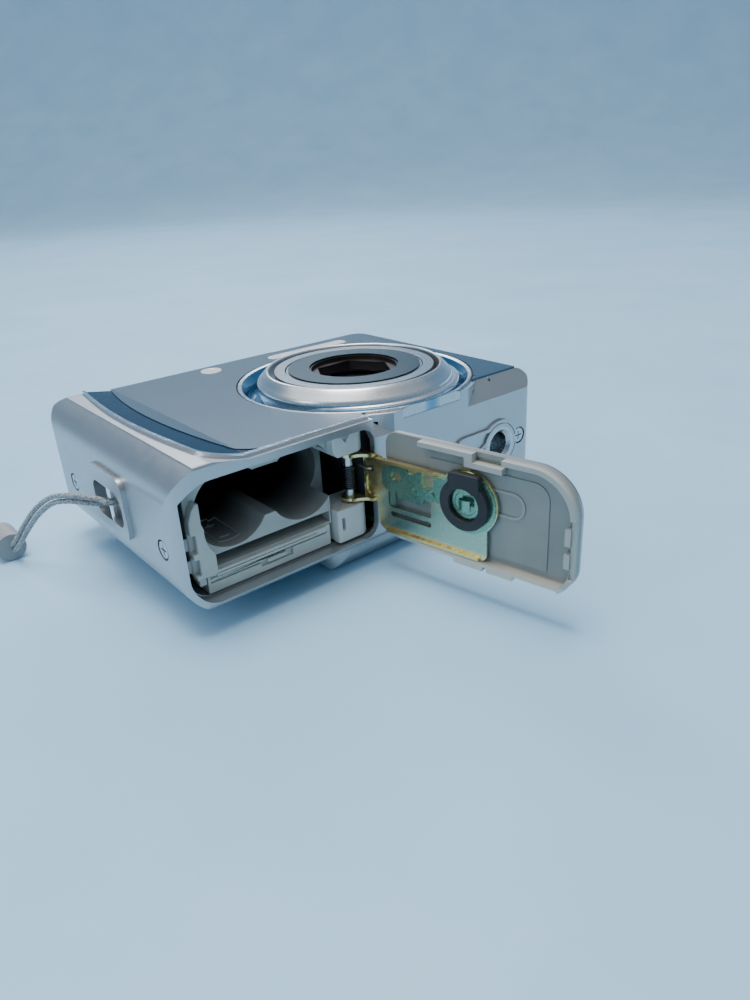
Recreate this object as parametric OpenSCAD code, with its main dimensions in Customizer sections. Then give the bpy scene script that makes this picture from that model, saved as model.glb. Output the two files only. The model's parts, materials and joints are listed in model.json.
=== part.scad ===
// Compact digital camera lying on its back, with its battery door open.
// Millimetres. +Z is the optical axis, -Y the camera's base, -X its grip end.
// The origin is where the optical axis meets the surface the camera lies on.

/* [Case] */
// Lens axis to the outer face of the grip end
grip_x = 57.2; // [57:0.1:57.6]
// Lens axis to the outer face of the lens end
end_x = 31; // [30:0.1:31.2]
// Lens axis to the camera's base
base_y = 25; // [24.9:0.1:25]
// Lens axis to the camera's top
top_y = 35.5; // [35.3:0.1:36]
// Outer face of the back cover above the resting surface
back_z = 4.8; // [4.7:0.1:4.8]
// Front face above the resting surface
front_z = 30.4; // [30.4:0.1:30.6]
// Height of the line where front and back covers meet
split_z = 18.6; // [18.4:0.1:18.8]
// Thickness of the moulded cover walls
wall = 1.4; // [1.3:0.05:1.45]
// Radius of the case corners seen from the front
corner_r = 4; // [3:0.5:4.5]

/* [Lens] */
// Outer radius of the trough ring round the lens
dish_r = 26.2; // [26:0.1:26.3]
// Outer radius of the outer moving barrel
barrel_r = 17.6; // [17.4:0.1:17.65]
// Outer radius of the inner moving barrel
inner_r = 15.1; // [14.9:0.1:15.15]
// Height of the barrels' front face with the lens retracted
barrel_top = 33.3; // [33:0.1:33.5]

/* [Battery bay] */
// Radius of each cell bore
cell_r = 7.4; // [7.3:0.05:7.45]
// Distance between the two cell bores
cell_pitch = 15; // [15:0.05:15.1]
// Depth of each cell bore
cell_depth = 51.7; // [51:0.1:52]
// Width of the memory card slot
card_w = 25.3; // [24.6:0.1:25.5]
// Height of the memory card slot
card_t = 2.3; // [2.2:0.05:2.35]

/* [Battery door] */
// Angle between the open door and the closed door
open_angle = 100.5; // [80:0.5:102]
// Travel of the cover along the hinge plate
slide_out = 10.5; // [7:0.1:11]
// Radius of the hinge pin
pin_r = 1; // [0.9:0.05:1.05]

/* [Controls] */
// Radius of the shutter button
shutter_r = 4.6; // [4:0.1:5]
// Radius of the four-way pad
pad_r = 9; // [8.5:0.1:9.2]
// Radius of the OK button
ok_r = 3.4; // [3:0.1:3.8]

/* [Strap] */
// Diameter of the thin cord through the lug
cord_d = 1.1; // [1:0.05:1.2]
// Diameter of the wrist loop's cord
tail_d = 1.6; // [1.5:0.05:1.6]

/* [Hidden] */
$fn = 48;
eps = 0.01;
grip_r = 6.5;
shoulder_z = front_z + 1.4;
shoulder_x = -49.8;
bay_x1 = -15.4;
bay_z0 = 6.1;
bay_z1 = 28.9;
cell_x = -45.3;
cell_z = 21.3;
mouth_y = -21.7;
chamber_y1 = mouth_y + cell_depth + 1.5;
slot_z = 11.2;
pin_x = -18.9;
pin_y = -20.8;
plate_y = -23.2;
plate_t = 0.6;
door_floor = -base_y + 1.2;
ring_x = cell_x;
socket_x = 19.8;
socket_z = 15.4;
screw_z = 15.75;
lip_z = 28.6;
trough_r = 24.2;
lug_x = -58.1;
lug_y0 = -4.6;
lug_y1 = 11.8;
lug_z0 = 12.6;
lug_z1 = 25;
bar_x = -57.2;
bar_y = 4;
bar_r = 0.55;
pad_x = -42;
pad_y = -2;
top_button_z = 17.5;
flap_y = 11.5;
rocker_z = 7;
plate_ring_z = 19;
lamp_x = -19.5;
lamp_y = 30.2;
lamp_r = 2.5;

// Route of the short strap loop: slider, lug bar, slider
loop_route = [
    [-71.1, 31.4, 3.5], [-70.62, 28.98, 5.42], [-69.07, 25.19, 9.8], [-67.05, 20.93, 14.26],
    [-64.9, 16.41, 17.43], [-62.84, 12.08, 18.58], [-61.2, 8.9, 18.8], [-59.6, 6.6, 18.7],
    [-58.65, 5, 18.5], [-58.37, 4, 18.35], [-58.02, 3.17, 18.25], [-57.2, 2.83, 18.1],
    [-56.38, 3.17, 18], [-56.03, 4, 17.9], [-56.38, 4.83, 17.75], [-57.25, 5.35, 17.6],
    [-58.3, 6, 17.5], [-59.5, 7, 17.4], [-61.2, 9.2, 17.5], [-62.76, 11.92, 17.42],
    [-64.7, 15.99, 16.3], [-66.75, 20.27, 13.26], [-68.73, 24.41, 8.9], [-70.38, 28.22, 4.5],
    [-71, 31.4, 2.2]
];
// Routes of the wrist loop's two ends, from the slider to the tied hank
tail_out = [
    [-72.3, 39.6, 2.6], [-72.5, 41.8, 2], [-73.4, 44.4, 1.2], [-75.6, 47, 0.8],
    [-79, 48.8, 0.8], [-82, 49.2, 0.8]
];
tail_back = [
    [-70.5, 39.6, 2.6], [-70.8, 42.4, 2.2], [-72, 45.8, 2.3], [-75, 48.8, 2.4],
    [-79, 50.4, 2.4], [-82, 50.6, 2.4]
];

function unit(v) = v / norm(v);

function blend_point(a, b, c, d, t) = 0.5 * (2 * b + (c - a) * t
    + (2 * a - 5 * b + 4 * c - d) * t * t + (3 * b - a - 3 * c + d) * t * t * t);

function smooth_route(p, n) = concat(
    [for (i = [0:len(p) - 2]) for (j = [0:n - 1])
        blend_point(p[max(i - 1, 0)], p[i], p[i + 1], p[min(i + 2, len(p) - 1)], j / n)],
    [p[len(p) - 1]]);

function route_tangents(p) = [for (i = [0:len(p) - 1])
    unit(p[min(i + 1, len(p) - 1)] - p[max(i - 1, 0)])];

function carried_normals(t, n, i = 0) = i == len(t) ? [] :
    let (m = unit(n - (n * t[i]) * t[i])) concat([m], carried_normals(t, m, i + 1));

// Round tube along a route, closed at both ends
module swept_tube(route, radius, sides, start_normal) {
    t = route_tangents(route);
    n = carried_normals(t, start_normal);
    rings = len(route);
    points = [for (i = [0:rings - 1]) for (k = [0:sides - 1])
        route[i] + radius * (cos(360 * k / sides) * n[i]
            + sin(360 * k / sides) * cross(t[i], n[i]))];
    walls = [for (i = [0:rings - 2]) for (k = [0:sides - 1])
        [i * sides + k, (i + 1) * sides + k,
            (i + 1) * sides + (k + 1) % sides, i * sides + (k + 1) % sides]];
    first = [for (k = [0:sides - 1]) k];
    last = [for (k = [0:sides - 1]) rings * sides - 1 - k];
    polyhedron(points, concat(walls, [first], [last]), convexity = 6);
}

// Square corner outside a quarter circle, for rounding by subtraction
module corner_waste(x, y, r, sx, sy) {
    translate([x, y])
        scale_sign(sx, sy)
            difference() {
                translate([-1, -1])
                    square([r + 1, r + 1]);
                translate([r, r])
                    circle(r);
            }
}

module scale_sign(sx, sy) {
    mirror([sx < 0 ? 1 : 0, 0])
        mirror([0, sy < 0 ? 1 : 0])
            children();
}

// Rectangle with its own radius at each corner
module round_rect(x0, y0, x1, y1, r00, r10, r11, r01) {
    difference() {
        translate([x0, y0])
            square([x1 - x0, y1 - y0]);
        corner_waste(x0, y0, r00, 1, 1);
        corner_waste(x1, y0, r10, -1, 1);
        corner_waste(x1, y1, r11, -1, -1);
        corner_waste(x0, y1, r01, 1, -1);
    }
}

// Extrudes an (x, z) outline along +Y from y0
module along_y(y0, length) {
    translate([0, y0 + length, 0])
        rotate([90, 0, 0])
            linear_extrude(height = length)
                children();
}

// Extrudes a (y, z) outline along +X from x0
module along_x(x0, length) {
    translate([x0, 0, 0])
        rotate([90, 0, 90])
            linear_extrude(height = length)
                children();
}

module block(x0, x1, y0, y1, z0, z1) {
    translate([x0, y0, z0])
        cube([x1 - x0, y1 - y0, z1 - z0]);
}

module post(x, y, z0, z1, r) {
    translate([x, y, z0])
        cylinder(h = z1 - z0, r = r);
}

// Cylinder along Y
module post_y(x, z, y0, y1, r) {
    translate([x, y1, z])
        rotate([90, 0, 0])
            cylinder(h = y1 - y0, r = r);
}

// ---- Case ----

// Outline of the case seen from its base, inset by t
module side_outline(t) {
    round_rect(-grip_x + t, back_z + t, end_x - t, front_z - t,
        grip_r - t, 3 - t * 0.8, 2.6 - t * 0.8, grip_r - t);
    round_rect(-grip_x + t, back_z + t, shoulder_x + 2 * t, shoulder_z - t,
        grip_r - t, 0.3, 0.3, grip_r - t);
    polygon([[shoulder_x - 3, back_z + t + 2], [shoulder_x - 3, shoulder_z - t],
        [shoulder_x, shoulder_z - t], [-42.3, front_z - t], [-42.3, back_z + t + 2]]);
}

module end_outline(t) {
    round_rect(-base_y + t, back_z + t, top_y - t, shoulder_z - t,
        1.6 - t * 0.8, 4 - t, 3.4 - t, 0.6);
}

module plan_outline(t) {
    r = corner_r - t;
    round_rect(-grip_x + t, -base_y + t, end_x - t, top_y - t, r, 2.6 - t, r, r);
}

module case_solid(t) {
    intersection() {
        along_y(-base_y - 1, base_y + top_y + 2)
            side_outline(t);
        along_x(-grip_x - 1, grip_x + end_x + 2)
            end_outline(t);
        translate([0, 0, back_z - 1])
            linear_extrude(height = shoulder_z - back_z + 2)
                plan_outline(t);
    }
}

// Display housing that stands proud of the back
module display_bump(t, z0, z1) {
    intersection() {
        translate([0, 0, z0])
            linear_extrude(height = z1 - z0)
                round_rect(-26.9 + t, -23 + t, 28 - t, 33 - t, 5 - t, 4 - t, 4 - t, 5 - t);
        along_y(-base_y, base_y + top_y)
            round_rect(-26.9 + t, z0, 28 - t, z1 + 5, 3 - t, 3 - t, 1, 1);
        along_x(-grip_x, grip_x + end_x)
            round_rect(-23 + t, z0, 33 - t, z1 + 5, 3 - t, 3 - t, 1, 1);
    }
}

// Mouth of the battery bay, cut through the base
module bay_outline(g) {
    intersection() {
        side_outline(wall - 0.15 + g);
        round_rect(-grip_x, bay_z0 + g, bay_x1 - g, bay_z1 - g, 5, 3, 3, 7);
    }
}

module boss_outline(g) {
    round_rect(6.2 + g, 10.8 + g, socket_x + 1, 20 - g, 3 - g, 0.5, 0.5, 2.4 - g);
    translate([socket_x, socket_z])
        circle(5.8 - g);
}

// Bevel between the base and the front face, on the lens side of the bay
module front_bevel(dy, dz) {
    difference() {
        translate([0, -dy, -dz])
            along_x(bay_x1, grip_x)
                polygon([[-base_y - 1, 26.5], [-base_y, 26.5], [-base_y + 3.1, front_z],
                    [-base_y + 3.1, front_z + 3], [-base_y - 1, front_z + 3]]);
        post(0, 0, 20, 40, dish_r + 0.8);
    }
}

// Space the trough ring takes in the front cover
module dish_space(g) {
    post(0, 0, lip_z - g, 40, dish_r + g);
    post(0, 0, 26.5 - g, 40, trough_r + g);
}

module lug_frame(z0, z1) {
    difference() {
        along_x(lug_x, wall - grip_x - lug_x)
            intersection() {
                round_rect(lug_y0, lug_z0, lug_y1, lug_z1, 1.8, 3, 3.4, 2.4);
                translate([lug_y0, z0])
                    square([lug_y1 - lug_y0, z1 - z0]);
            }
        lug_pocket(0);
    }
}

// Pocket behind the strap bar
module lug_pocket(t) {
    along_x(lug_x - 0.1, 2.8 + t)
        round_rect(-3.1 - t, 14.6 - t, 10 + t, 21.6 + t, 2.2, 2.2, 2.2, 3);
}

module bar_space() {
    post(bar_x, bar_y, lug_z0 + 1.2, lug_z1 - 2.6, bar_r);
}

module screw_places() {
    for (y = [-17.5, 25.1])
        for (side = [0, 1])
            translate([side == 0 ? -grip_x : end_x, y, screw_z])
                rotate([0, side == 0 ? 90 : -90, 0])
                    children();
    translate([26.6, -base_y, screw_z])
        rotate([-90, 0, 0])
            children();
}

// Outline of the flash window
module flash_outline(g) {
    round_rect(-4 - g, 27.5 - g, 19.8 + g, 31.2 + g, 1.8, 1.8, 1.8, 1.8);
}

module flash_space(g) {
    translate([0, 0, 26])
        linear_extrude(height = 7)
            flash_outline(g);
}

module front_cover() {
    color([0.72, 0.75, 0.79])
        difference() {
            union() {
                difference() {
                    case_solid(0);
                    difference() {
                        case_solid(wall);
                        front_bevel(-1.1, 0.9);
                    }
                    block(-grip_x - 1, end_x + 1, -base_y - 1, top_y + 1, 0, split_z);
                }
                lug_frame(split_z, lug_z1);
                intersection() {
                    lug_pocket(0.9);
                    block(-grip_x, -53, -5, 15, split_z, lug_z1);
                }
                intersection() {
                    case_solid(wall);
                    screw_places()
                        translate([0, 0, wall])
                            cylinder(h = 1.4, r = 2.4);
                }
                along_y(-23.4, 1.1)
                    polygon([[-41.4, 29.2], [-36, 29.2], [-37.2, 27.3], [-37.8, 27.5], [-39.8, 27.15]]);
            }
            front_bevel(0, 0);
            along_y(-base_y - 1, 4.2)
                bay_outline(0);
            dish_space(0.02);
            bar_space();
            post(0, 0, 20, 40, 19.5);
            along_y(-base_y - 1, 2.6)
                boss_outline(-0.02);
            lug_pocket(0);
            screw_places()
                cylinder(h = 12, r = 0.8);
            flash_space(0.1);
            post(lamp_x, lamp_y, 26, 33, lamp_r + 0.05);
            for (x = [17, 19.4])
                post(x, -0.94 * x - 4, 26, 33, 0.4);
            post_y(-44, top_button_z, 33, 37, shutter_r + 0.25);
            post_y(-30, top_button_z, 33, 37, 3.05);
            post_y(-44, top_button_z, 35, 37, shutter_r + 1.2);
            for (x = [-12, -10, -8])
                for (z = [20.5, 22.5, 24.5])
                    post_y(x, z, 33, 37, 0.5);
        }
}

module rear_cover() {
    color([0.7, 0.73, 0.77])
        difference() {
            union() {
                difference() {
                    case_solid(0);
                    case_solid(wall);
                    block(-grip_x - 1, end_x + 1, -base_y - 1, top_y + 1, split_z, 40);
                }
                display_bump(0, 0, back_z + wall);
                lug_frame(lug_z0, split_z);
                intersection() {
                    lug_pocket(0.9);
                    block(-grip_x, -53, -5, 15, lug_z0, split_z);
                }
                along_y(-base_y - 0.6, 1.2)
                    boss_outline(0);
            }
            display_bump(1.2, 1.2, back_z + wall + 1);
            block(-23.5, 24.5, -12.5, 24.5, -1, 2);
            lug_pocket(0);
            bar_space();
            along_y(-base_y - 1, 4.2)
                bay_outline(0);
            along_y(-base_y - 1.4, 1.3)
                difference() {
                    boss_outline(0.7);
                    translate([socket_x, socket_z])
                        circle(4.9);
                    polygon([[8, 13.2], [15.6, 17.2], [15.6, 16.6], [8.3, 12.7]]);
                    translate([9.6, 17])
                        square(0.7);
                    translate([11.6, 12])
                        square(0.7);
                }
            post_y(socket_x, socket_z, -27, -22, 4.2);
            block(-23.6, -22, -20, 20, back_z + 0.2, 7.9);
            screw_places() {
                translate([0, 0, -1])
                    cylinder(h = 1.85, r = 2);
                translate([0, 0, wall - 0.02])
                    cylinder(h = 2.6, r = 2.45);
                cylinder(h = 5, r = 0.85);
            }
            post(pad_x, pad_y, 0, 8, pad_r + 0.2);
            post(-48, 15, 0, 8, 2.4);
            post(-36, 15, 0, 8, 2.4);
            block(-50.2, -33.8, 22.8, 29.2, 0, 8);
            for (y = [20, 23])
                post(-30.5, y, 0, 8, 0.8);
            block(27, 31, -8.2, 12.2, 7.8, 17.2);
            post_y(-44, top_button_z, 33, 37, shutter_r + 0.25);
            post_y(-30, top_button_z, 33, 37, 3.05);
            post_y(-44, top_button_z, 35, 37, shutter_r + 1.2);
        }
}

// Face bounded by a large arc on the grip side, with a rounded lower corner
module face_outline(arc_x, arc_y, arc_r, heel_x, g) {
    difference() {
        intersection() {
            translate([arc_x, arc_y])
                circle(arc_r + g, $fn = 96);
            translate([-56, -23.1 - g])
                square([84.8, 57.5 + g]);
        }
        translate([-60, -30])
            square([60 + heel_x, 30 - 17.1]);
    }
    translate([heel_x, -17.1])
        circle(6.05 + g);
}

module panel_outline(g) {
    face_outline(59, 7.5, 105, -36.9, g);
}

module accent_outline(g) {
    face_outline(114.4, 6, 165, -42.9, g);
}

// Thin layer lying on the sloping shoulder beside the front face
module shoulder_layer(z0, z1) {
    along_y(-base_y, base_y + top_y)
        polygon([[-56, shoulder_z + z0], [shoulder_x, shoulder_z + z0], [-42.3, front_z + z0],
            [-15.6, front_z + z0], [-15.6, front_z + z1], [-42.3, front_z + z1],
            [shoulder_x, shoulder_z + z1], [-56, shoulder_z + z1]]);
}

module front_panel() {
    color([0.42, 0.47, 0.52])
        intersection() {
            shoulder_region();
            difference() {
                translate([0, 0, front_z - 1])
                    linear_extrude(height = 4)
                        panel_outline(0);
                post(0, 0, 0, 40, dish_r + 0.05);
                block(bay_x1 - 0.3, 40, -30, -base_y + 3.2, 0, 40);
                translate([0, 0, 20])
                    linear_extrude(height = 20)
                        difference() {
                            translate([0, -30])
                                square([40, 70]);
                            round_rect(-1, -31, end_x - 2.7, 34, 0.1, 0.1, 3.4, 0.1);
                        }
                flash_space(0.1);
                post(lamp_x, lamp_y, 26, 33, lamp_r + 0.1);
                for (x = [17, 19.4])
                    post(x, -0.94 * x - 4, 26, 33, 0.4);
            }
        }
}

// Layer 0.45 mm thick over the whole front, following the shoulder
module shoulder_region() {
    along_y(-base_y, base_y + top_y)
        polygon([[-56, shoulder_z], [shoulder_x, shoulder_z], [-42.3, front_z],
            [end_x, front_z], [end_x, front_z + 0.45], [-42.3, front_z + 0.45],
            [shoulder_x, shoulder_z + 0.45], [-56, shoulder_z + 0.45]]);
}

module accent_strip() {
    color([0.05, 0.1, 0.2])
        intersection() {
            shoulder_layer(0, 0.3);
            block(-60, 0, -30, 33.2, 20, 40);
            translate([0, 0, front_z - 1])
                linear_extrude(height = 4)
                    difference() {
                        accent_outline(0);
                        panel_outline(0.05);
                    }
        }
}

module chrome_trim() {
    color([0.85, 0.87, 0.9])
        intersection() {
            shoulder_layer(0, 0.6);
            block(-60, 0, -30, 33.2, 20, 40);
            translate([0, 0, front_z - 1])
                linear_extrude(height = 4)
                    difference() {
                        accent_outline(0.8);
                        accent_outline(0.1);
                    }
        }
}

// ---- Lens ----

module lens_dish() {
    color([0.1, 0.25, 0.4])
        intersection() {
            rotate_extrude($fn = 96)
                polygon([[19.6, 26.5], [trough_r, 26.5], [trough_r, lip_z], [dish_r, lip_z],
                    [dish_r, 30.4], [25.8, 30.9], [25, 30.7], [23.6, 28.9], [23.4, 27.6],
                    [19.6, 27.4]]);
            block(-30, 30, -base_y, 30, 26, 31);
        }
}

module lens_bezel() {
    color([0.85, 0.86, 0.88])
        difference() {
            union() {
                rotate_extrude($fn = 96)
                    polygon([[18.8, 27.7], [21.2, 27.7], [21.7, 31], [21.5, 31.5],
                        [19.5, 33.5], [19.1, 33.7], [18.8, 33.5]]);
                translate([0.9, -0.9, 27.7])
                    cylinder(h = 3, r = 21.9);
            }
            post(0, 0, 20, 40, 18.8);
        }
}

module lens_guide() {
    color([0.08, 0.08, 0.09])
        difference() {
            post(0, 0, 10.1, 27.3, 19.3);
            post(0, 0, 9, 28, 17.75);
        }
}

module outer_barrel() {
    color([0.45, 0.47, 0.5])
        difference() {
            post(0, 0, 11, barrel_top, barrel_r);
            post(0, 0, 10, barrel_top + 1, inner_r + 0.15);
        }
}

module inner_barrel() {
    color([0.4, 0.42, 0.45])
        difference() {
            post(0, 0, 11, barrel_top - 0.2, inner_r);
            post(0, 0, 10, 31.4, 13.7);
            post(0, 0, 10, 40, 10.1);
        }
}

module name_ring() {
    color([0.2, 0.28, 0.33])
        difference() {
            post(0, 0, barrel_top - 0.2, barrel_top + 0.15, 14.6);
            post(0, 0, 30, 40, 9.9);
        }
}

// Black ring whose mouth narrows to a six-sided window
module lens_baffle() {
    color([0.04, 0.03, 0.03])
        difference() {
            post(0, 0, 29.6, barrel_top - 0.25, 10.05);
            translate([0, 0, 32.2])
                cylinder(h = 2, r = 9.5);
            translate([0, 0, 29])
                cylinder(h = 4, r = 8.9, $fn = 6);
            translate([0, 0, 28])
                cylinder(h = 2.2, r = 9);
        }
}

module front_element() {
    color([0.1, 0.12, 0.2])
        post(0, 0, 27.4, 29.5, 9.6);
}

module rear_element() {
    color([0.15, 0.18, 0.28])
        post(0, 0, 13.2, 16, 6);
}

module lens_base() {
    color([0.1, 0.1, 0.1])
        difference() {
            union() {
                post(0, 0, 8.9, 10.1, 19.3);
                post(0, 0, 10.1, 13.2, 7);
            }
            block(-5, 5, -4, 4, 8, 14);
        }
}

module image_sensor() {
    color([0.2, 0.3, 0.25])
        block(-4.8, 4.8, -3.8, 3.8, 7.5, 9.6);
}

module zoom_motor() {
    color([0.6, 0.6, 0.62]) {
        post(24.3, -11.2, 12.4, 24, 2.9);
        post(24.3, -11.2, 24, 26, 0.8);
    }
}

module flash_window() {
    color([0.9, 0.92, 0.95])
        translate([0, 0, front_z - wall + 0.05])
            linear_extrude(height = wall + 0.45)
                flash_outline(0);
}

module flash_reflector() {
    color([0.8, 0.8, 0.82])
        difference() {
            block(-3.6, 18.6, 27.8, 31, 22, 28.9);
            along_x(-2.8, 20.6)
                polygon([[28.2, 29.5], [28.9, 23], [29.9, 23], [30.6, 29.5]]);
        }
}

module flash_capacitor() {
    color([0.1, 0.1, 0.12])
        post(22.8, 26.4, 9, 26, 3.7);
}

module timer_lamp() {
    color([0.86, 0.85, 0.82]) {
        difference() {
            post(lamp_x, lamp_y, front_z - wall, front_z + 0.6, lamp_r);
            translate([lamp_x, lamp_y, front_z + 0.4])
                cylinder(h = 1, r = lamp_r - 0.5);
        }
        post(lamp_x, lamp_y, 27, front_z - wall, 1.4);
    }
}

module microphone() {
    color([0.3, 0.3, 0.32])
        post(18.8, -20.8, 24.2, 26.4, 1.7);
}

// ---- Electronics ----

module main_board() {
    color([0.05, 0.35, 0.15])
        difference() {
            block(-13.5, 27.6, -22, 32.6, 6.6, 7.4);
            post(26.6, -18, 6, 8, 1.2);
        }
}

module button_board() {
    color([0.05, 0.35, 0.15])
        block(-54, -27.5, -14, 31, 9.2, 9.9);
}

module button_switches() {
    color([0.6, 0.6, 0.62]) {
        for (p = [[-48, 15], [-36, 15], [-46, 26], [-38, 26], [pad_x, pad_y],
            [pad_x, pad_y + 6.5], [pad_x, pad_y - 6.5], [pad_x + 6.5, pad_y],
            [pad_x - 6.5, pad_y]])
            block(p[0] - 1.5, p[0] + 1.5, p[1] - 1.5, p[1] + 1.5, 8.3, 9.2);
        for (x = [-44, -30])
            block(x - 1.5, x + 1.5, chamber_y1, chamber_y1 + 0.8,
                top_button_z - 1.5, top_button_z + 1.5);
    }
}

module lcd_module() {
    color([0.15, 0.16, 0.18])
        block(-25, 26, -17, 28, 2.1, 4.9);
}

module lcd_window() {
    color([0.03, 0.03, 0.05])
        block(-23.4, 24.4, -12.4, 24.4, 0, 2);
}

module status_lights() {
    color([0.3, 0.9, 0.4])
        for (y = [20, 23])
            post(-30.5, y, 4.9, 9.2, 0.7);
}

module speaker() {
    color([0.12, 0.12, 0.12])
        block(-14, -6, 33.2, 34, 19, 26);
}

module usb_socket() {
    color([0.75, 0.75, 0.77])
        difference() {
            block(20.5, 28.6, -3.9, 3.9, 8.2, 12.2);
            block(22, 29, -3.4, 3.4, 8.7, 11.7);
        }
}

module port_cover() {
    color([0.5, 0.53, 0.56]) {
        block(end_x - 1.2, end_x, -8, flap_y, 8, 17);
        post(end_x - 0.6, flap_y, 8, 17, 0.6);
        block(28.7, end_x - 1.2, 5, 8, 9, 11);
    }
}

// ---- Battery bay ----

module battery_chamber() {
    color([0.8, 0.79, 0.75])
        difference() {
            block(-54.2, -21.6, mouth_y, chamber_y1, slot_z - 0.4, 28.95);
            for (i = [0, 1])
                post_y(cell_x + i * cell_pitch, cell_z, mouth_y - 1, mouth_y + cell_depth, cell_r);
            block(cell_x + 5, cell_x + cell_pitch - 5, mouth_y - 1, mouth_y + cell_depth,
                cell_z - 3.8, cell_z + 5.6);
            block(-50.2, -50.2 + card_w, mouth_y - 1, mouth_y + 30, slot_z, slot_z + card_t);
            dish_space(0.1);
            block(-24.6, -20, -24, -15.3, 0, 40);
        }
}

module cell_contacts() {
    color([0.8, 0.78, 0.7])
        for (i = [0, 1])
            translate([cell_x + i * cell_pitch, mouth_y + cell_depth, cell_z])
                rotate([90, 0, 0])
                    cylinder(h = 0.5, r = 5);
}

module card_tray() {
    color([0.84, 0.83, 0.79])
        difference() {
            union() {
                block(-52, -25.2, -21.9, -15.4, 6.5, slot_z - 0.4);
                block(-50.2, -26.4, -22.4, -21.8, 9.7, slot_z - 0.4);
            }
            block(-50.2, -28.6, -22.8, -22.1, 10.1, 10.4);
            block(-51.4, -26, -22, -21.5, 9.3, 9.7);
            block(-51.4, -40.6, -22, -21.4, 8.4, 8.7);
            block(-34.4, -26, -22, -21.4, 9.1, 9.4);
            difference() {
                block(-41, -34, -22, -21.2, 7.6, 9.2);
                block(-39.6, -35.4, -22, -21, 8, 8.8);
            }
        }
}

module card_contacts() {
    color([0.75, 0.62, 0.3])
        for (i = [0:7])
            block(-47.9 + i * 2.5, -46.9 + i * 2.5, 2, 8, slot_z, slot_z + 0.15);
}

// Post beside the first bore, holding the door's two catch tabs
module catch_post() {
    color([0.78, 0.78, 0.76])
        difference() {
            union() {
                along_y(-23.65, 1.95)
                    difference() {
                        polygon([[-54.5, 10.9], [-50.4, 10.9], [-50.4, 15], [-52.2, 21],
                            [-52.2, 24.9], [-52.9, 24.9], [-53.7, 23.8], [-54.4, 22],
                            [-54.5, 20.5]]);
                        translate([ring_x, plate_ring_z])
                            circle(6.6);
                    }
                block(-53.9, -52.5, -22.8, -21.7, 9.1, 11);
                for (z = [11.9, 16.2])
                    block(-55.4, -54.4, -21.95, -21.7, z, z + 2.4);
            }
            block(-56, -53.6, -24, -22.3, 11.7, 14.8);
            block(-56, -53.6, -24, -22.3, 15.9, 19.4);
        }
}

// Block round one end of the hinge pin, clear of the turning door
module hinge_block_outline(z0, z1) {
    translate([0, 0, z0])
        linear_extrude(height = z1 - z0) {
            round_rect(-24.2, -23.5, pin_x + eps, -15.5, 0.5, 0, 0, 0.5);
            translate([pin_x, pin_y])
                circle(2.7);
            translate([pin_x, pin_y])
                square([2.7, 5.3]);
        }
}

module upper_hinge_block() {
    color([0.86, 0.86, 0.84])
        difference() {
            hinge_block_outline(24.3, 28.8);
            dish_space(0.1);
            post(pin_x, pin_y, 20, 26, pin_r);
            along_y(-24, 1.3)
                polygon([[-22.6, 29], [-19.6, 29], [-21.1, 26.9]]);
            along_y(-24, 9)
                polygon([[-24.6, 24], [-23, 24], [-24.6, 26.6]]);
        }
}

module lower_hinge_block() {
    color([0.72, 0.72, 0.7])
        difference() {
            union() {
                hinge_block_outline(6.5, 13.4);
                block(pin_x, -15.9, pin_y, -16.5, 6.5, 13.4);
            }
            post(pin_x, pin_y, 10, 14, pin_r);
            block(-23.2, -22.4, -24, -21, 9, 11.6);
        }
}

module hinge_pin() {
    color([0.75, 0.76, 0.75])
        post(pin_x, pin_y, 10, 26, pin_r);
}

// ---- Battery door, drawn closed and then turned open about the hinge pin ----

module opened() {
    translate([pin_x, pin_y, 0])
        rotate([0, 0, open_angle])
            translate([-pin_x, -pin_y, 0])
                children();
}

module slid_open() {
    opened()
        translate([-slide_out, 0, 0])
            children();
}

module hinge_spring() {
    color([0.15, 0.15, 0.16])
        opened()
            difference() {
                union() {
                    post(pin_x, pin_y, 16, 21, 1.55);
                    block(pin_x - 4.6, pin_x, pin_y - 1.5, pin_y - 1.1, 20.4, 20.8);
                    block(pin_x - 4.6, pin_x - 4.2, plate_y + 0.1, pin_y - 1.1, 20.4, 20.8);
                }
                post(pin_x, pin_y, 15, 22, pin_r + 0.06);
            }
}

module hinge_plate() {
    color([0.78, 0.66, 0.32])
        opened()
            difference() {
                union() {
                    along_y(plate_y, plate_t) {
                        round_rect(pin_x - 7, 13.9, pin_x - 2.4, 23.7, 1, 0.3, 0.3, 1);
                        round_rect(pin_x - 30.5, 8.1, pin_x - 5.8, 23.2, 1.5, 2, 0.5, 0.5);
                        translate([ring_x, plate_ring_z])
                            circle(6.2);
                    }
                    for (z = [13.9, 23.1])
                        difference() {
                            union() {
                                post(pin_x, pin_y, z, z + plate_t, 1.9);
                                block(pin_x - 5, pin_x, plate_y + plate_t - eps, pin_y + 1.2,
                                    z, z + plate_t);
                            }
                            translate([pin_x - 5, pin_y + 1.9, z - 1])
                                cylinder(h = 3, r = 3.1);
                        }
                    block(pin_x - 19.4, pin_x - 5.8, plate_y, -22.1, 22.6, 23.2);
                    block(pin_x - 29, pin_x - 7.8, plate_y, -22.1, 8.1, 8.7);
                }
                for (z = [13, 22.5])
                    post(pin_x, pin_y, z, z + 2, pin_r + 0.05);
                along_y(plate_y - 1, 3) {
                    round_rect(pin_x - 18.4, 13.6, pin_x - 8.4, 16.9, 0.3, 0.8, 0.3, 0.3);
                    round_rect(pin_x - 18.4, 11.6, pin_x - 8.8, 12.7, 0.5, 0.5, 0.5, 0.5);
                    translate([pin_x - 4.4, 20.6])
                        circle(0.6);
                    translate([ring_x, plate_ring_z])
                        circle(2.4);
                }
                along_y(plate_y + 0.35, 1)
                    round_rect(pin_x - 5.4, 15, pin_x - 3, 19.4, 1.1, 1.1, 1.1, 1.1);
            }
}

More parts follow.
